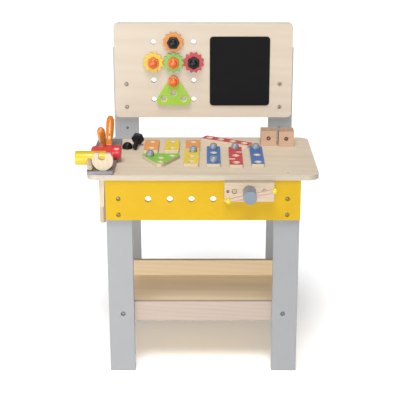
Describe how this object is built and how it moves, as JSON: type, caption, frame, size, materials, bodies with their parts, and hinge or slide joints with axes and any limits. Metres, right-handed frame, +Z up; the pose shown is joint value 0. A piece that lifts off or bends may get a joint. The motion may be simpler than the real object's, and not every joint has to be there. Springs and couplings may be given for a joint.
{
  "type": "toy tool bench",
  "caption": "Child's wooden tool bench with pegboard, turning gears, chalkboard, vise, tray, hand tools and loose construction pieces.",
  "frame": {"origin": "centre of the bounding box on the floor", "axes": "+Z up, +X to the right seen from the front, +Y from the front towards the pegboard"},
  "size_m": [0.564, 0.3826, 0.804],
  "materials": {
    "birch": "clear-lacquered plywood and birch, satin",
    "beech": "plain turned or sawn beech, oiled",
    "grey_paint": "light grey satin paint on wood",
    "rack_paint": "mid grey satin paint on plywood",
    "yellow_paint": "deep yellow satin paint on plywood",
    "bright_yellow": "bright yellow toy paint on wood",
    "orange_paint": "orange toy paint on wood",
    "green_paint": "green toy paint on wood",
    "red_paint": "red toy paint on wood",
    "blue_paint": "blue toy paint on wood",
    "black_paint": "black toy paint on wood",
    "knob_paint": "grey-blue toy paint on wood",
    "chalkboard": "matt black chalkboard paint on thin board"
  },
  "bodies": {
    "frame": {"worktop": "birch", "apron_front": "yellow_paint", "apron_rear": "birch", "side_rail_left": "birch", "side_rail_right": "birch", "front_leg_left": "grey_paint", "front_leg_right": "grey_paint", "rear_post_left": "grey_paint", "rear_post_right": "grey_paint", "tray_front_rail": "beech", "tray_rear_rail": "beech", "tray_side_left": "birch", "tray_side_right": "birch", "tray_floor": "birch", "backboard": "birch", "chalkboard": "chalkboard", "vise_nut": "birch", "tool_rack": "rack_paint"},
    "vise_jaw": {"vise_jaw": "birch", "vise_guide_left": "birch", "vise_guide_right": "birch"},
    "vise_screw": {"vise_screw": "birch", "vise_knob": "knob_paint"},
    "vise_bar": {"vise_bar": "beech", "vise_ball_left": "bright_yellow", "vise_ball_right": "bright_yellow"},
    "gear_green": {"gear_green": "green_paint"},
    "gear_orange": {"gear_orange": "orange_paint"},
    "gear_yellow": {"gear_yellow": "bright_yellow"},
    "gear_red": {"gear_red": "red_paint"},
    "wall_triangle": {"wall_triangle": "green_paint"},
    "bolt_of_gear_orange": {"bolt_of_gear_orange": "black_paint"},
    "bolt_of_gear_yellow": {"bolt_of_gear_yellow": "orange_paint"},
    "bolt_of_gear_green": {"bolt_of_gear_green": "orange_paint"},
    "bolt_of_gear_red": {"bolt_of_gear_red": "black_paint"},
    "bolt_of_wall_triangle": {"bolt_of_wall_triangle": "orange_paint"},
    "spanner": {"spanner": "birch"},
    "mallet": {"mallet_head": "bright_yellow", "mallet_handle": "birch"},
    "hammer": {"hammer_head": "red_paint", "hammer_handle": "birch"},
    "pliers": {"pliers_near_half": "orange_paint", "pliers_pin": "black_paint"},
    "pliers_far_half": {"pliers_far_half": "orange_paint"},
    "strip_orange_left": {"strip_orange_left": "orange_paint"},
    "strip_yellow_back": {"strip_yellow_back": "bright_yellow"},
    "strip_orange_right": {"strip_orange_right": "orange_paint"},
    "strip_yellow_front": {"strip_yellow_front": "bright_yellow"},
    "strip_blue_left": {"strip_blue_left": "blue_paint"},
    "strip_red": {"strip_red": "red_paint"},
    "strip_blue_right": {"strip_blue_right": "blue_paint"},
    "strip_red_long": {"strip_red_long": "red_paint"},
    "bench_triangle": {"bench_triangle": "green_paint"},
    "cube_left": {"cube_left": "beech"},
    "cube_right": {"cube_right": "beech"},
    "black_bolt_lying": {"black_bolt_lying": "black_paint"},
    "black_cap_nut": {"black_cap_nut": "black_paint"},
    "grey_bolt_triangle": {"grey_bolt_triangle": "knob_paint"},
    "grey_bolt_blue": {"grey_bolt_blue": "knob_paint"},
    "grey_bolt_red": {"grey_bolt_red": "knob_paint"}
  },
  "joints": [
    {"name": "vise_slide", "type": "slide", "parent": "frame", "child": "vise_jaw", "axis": [0, -1, 0], "range_m": [0, 0.036]},
    {"name": "vise_turn", "type": "hinge", "parent": "vise_jaw", "child": "vise_screw", "pos_m": [0.121, -0.1567, 0.47], "axis": [0, -1, 0], "range_deg": [0, 1620]},
    {"name": "vise_bar_slide", "type": "slide", "parent": "vise_screw", "child": "vise_bar", "axis": [0.9744, 0, 0.225], "range_m": [-0.034, 0.024]},
    {"name": "gear_green_spin", "type": "hinge", "parent": "frame", "child": "gear_green", "pos_m": [-0.059, 0.158, 0.7065], "axis": [0, 1, 0], "continuous": true},
    {"name": "gear_orange_spin", "type": "hinge", "parent": "frame", "child": "gear_orange", "pos_m": [-0.059, 0.158, 0.757], "axis": [0, 1, 0], "continuous": true},
    {"name": "gear_yellow_spin", "type": "hinge", "parent": "frame", "child": "gear_yellow", "pos_m": [-0.109, 0.158, 0.7065], "axis": [0, 1, 0], "continuous": true},
    {"name": "gear_red_spin", "type": "hinge", "parent": "frame", "child": "gear_red", "pos_m": [-0.009, 0.158, 0.7065], "axis": [0, 1, 0], "continuous": true},
    {"name": "wall_triangle_swing", "type": "hinge", "parent": "frame", "child": "wall_triangle", "pos_m": [-0.059, 0.158, 0.66], "axis": [0, 1, 0], "range_deg": [-30, 30]},
    {"name": "bolt_of_gear_orange_pull", "type": "slide", "parent": "frame", "child": "bolt_of_gear_orange", "axis": [0, -1, 0], "range_m": [0, 0.05]},
    {"name": "bolt_of_gear_yellow_pull", "type": "slide", "parent": "frame", "child": "bolt_of_gear_yellow", "axis": [0, -1, 0], "range_m": [0, 0.05]},
    {"name": "bolt_of_gear_green_pull", "type": "slide", "parent": "frame", "child": "bolt_of_gear_green", "axis": [0, -1, 0], "range_m": [0, 0.05]},
    {"name": "bolt_of_gear_red_pull", "type": "slide", "parent": "frame", "child": "bolt_of_gear_red", "axis": [0, -1, 0], "range_m": [0, 0.05]},
    {"name": "bolt_of_wall_triangle_pull", "type": "slide", "parent": "frame", "child": "bolt_of_wall_triangle", "axis": [0, -1, 0], "range_m": [0, 0.05]},
    {"name": "spanner_lift", "type": "slide", "parent": "frame", "child": "spanner", "axis": [0, 0, 1], "range_m": [0, 0.14]},
    {"name": "mallet_lift", "type": "slide", "parent": "frame", "child": "mallet", "axis": [-0.6, 0, 0.8], "range_m": [0, 0.08]},
    {"name": "hammer_lift", "type": "slide", "parent": "frame", "child": "hammer", "axis": [0, 0, 1], "range_m": [0, 0.008]},
    {"name": "pliers_lift", "type": "slide", "parent": "frame", "child": "pliers", "axis": [0, 0, 1], "range_m": [0, 0.08]},
    {"name": "pliers_close", "type": "hinge", "parent": "pliers", "child": "pliers_far_half", "pos_m": [-0.218, 0.0353, 0.525], "axis": [1, 0, 0], "range_deg": [0, 40]},
    {"name": "strip_orange_left_lift", "type": "slide", "parent": "frame", "child": "strip_orange_left", "axis": [0, 0, 1], "range_m": [0, 0.06]},
    {"name": "strip_yellow_back_lift", "type": "slide", "parent": "frame", "child": "strip_yellow_back", "axis": [0, 0, 1], "range_m": [0, 0.06]},
    {"name": "strip_orange_right_lift", "type": "slide", "parent": "frame", "child": "strip_orange_right", "axis": [0, 0, 1], "range_m": [0, 0.06]},
    {"name": "strip_yellow_front_lift", "type": "slide", "parent": "frame", "child": "strip_yellow_front", "axis": [0, 0, 1], "range_m": [0, 0.06]},
    {"name": "strip_blue_left_lift", "type": "slide", "parent": "frame", "child": "strip_blue_left", "axis": [0, 0, 1], "range_m": [0, 0.06]},
    {"name": "strip_red_lift", "type": "slide", "parent": "frame", "child": "strip_red", "axis": [0, 0, 1], "range_m": [0, 0.06]},
    {"name": "strip_blue_right_lift", "type": "slide", "parent": "frame", "child": "strip_blue_right", "axis": [0, 0, 1], "range_m": [0, 0.06]},
    {"name": "strip_red_long_lift", "type": "slide", "parent": "frame", "child": "strip_red_long", "axis": [0, 0, 1], "range_m": [0, 0.045]},
    {"name": "bench_triangle_lift", "type": "slide", "parent": "frame", "child": "bench_triangle", "axis": [0, 0, 1], "range_m": [0, 0.06]},
    {"name": "cube_left_lift", "type": "slide", "parent": "frame", "child": "cube_left", "axis": [0, 0, 1], "range_m": [0, 0.06]},
    {"name": "cube_right_lift", "type": "slide", "parent": "frame", "child": "cube_right", "axis": [0, 0, 1], "range_m": [0, 0.06]},
    {"name": "black_bolt_lying_lift", "type": "slide", "parent": "frame", "child": "black_bolt_lying", "axis": [0, 0, 1], "range_m": [0, 0.06]},
    {"name": "black_cap_nut_lift", "type": "slide", "parent": "frame", "child": "black_cap_nut", "axis": [0, 0, 1], "range_m": [0, 0.06]},
    {"name": "grey_bolt_triangle_lift", "type": "slide", "parent": "bench_triangle", "child": "grey_bolt_triangle", "axis": [0, 0, 1], "range_m": [0, 0.04]},
    {"name": "grey_bolt_blue_lift", "type": "slide", "parent": "strip_blue_left", "child": "grey_bolt_blue", "axis": [0, 0, 1], "range_m": [0, 0.04]},
    {"name": "grey_bolt_red_lift", "type": "slide", "parent": "strip_red", "child": "grey_bolt_red", "axis": [0, 0, 1], "range_m": [0, 0.04]}
  ],
  "couplings": [
    {"joint": "vise_turn", "follows": "vise_slide", "rad_per_m": 785.4},
    {"joint": "gear_orange_spin", "follows": "gear_green_spin", "ratio": -1},
    {"joint": "gear_yellow_spin", "follows": "gear_green_spin", "ratio": -1},
    {"joint": "gear_red_spin", "follows": "gear_green_spin", "ratio": -1}
  ]
}
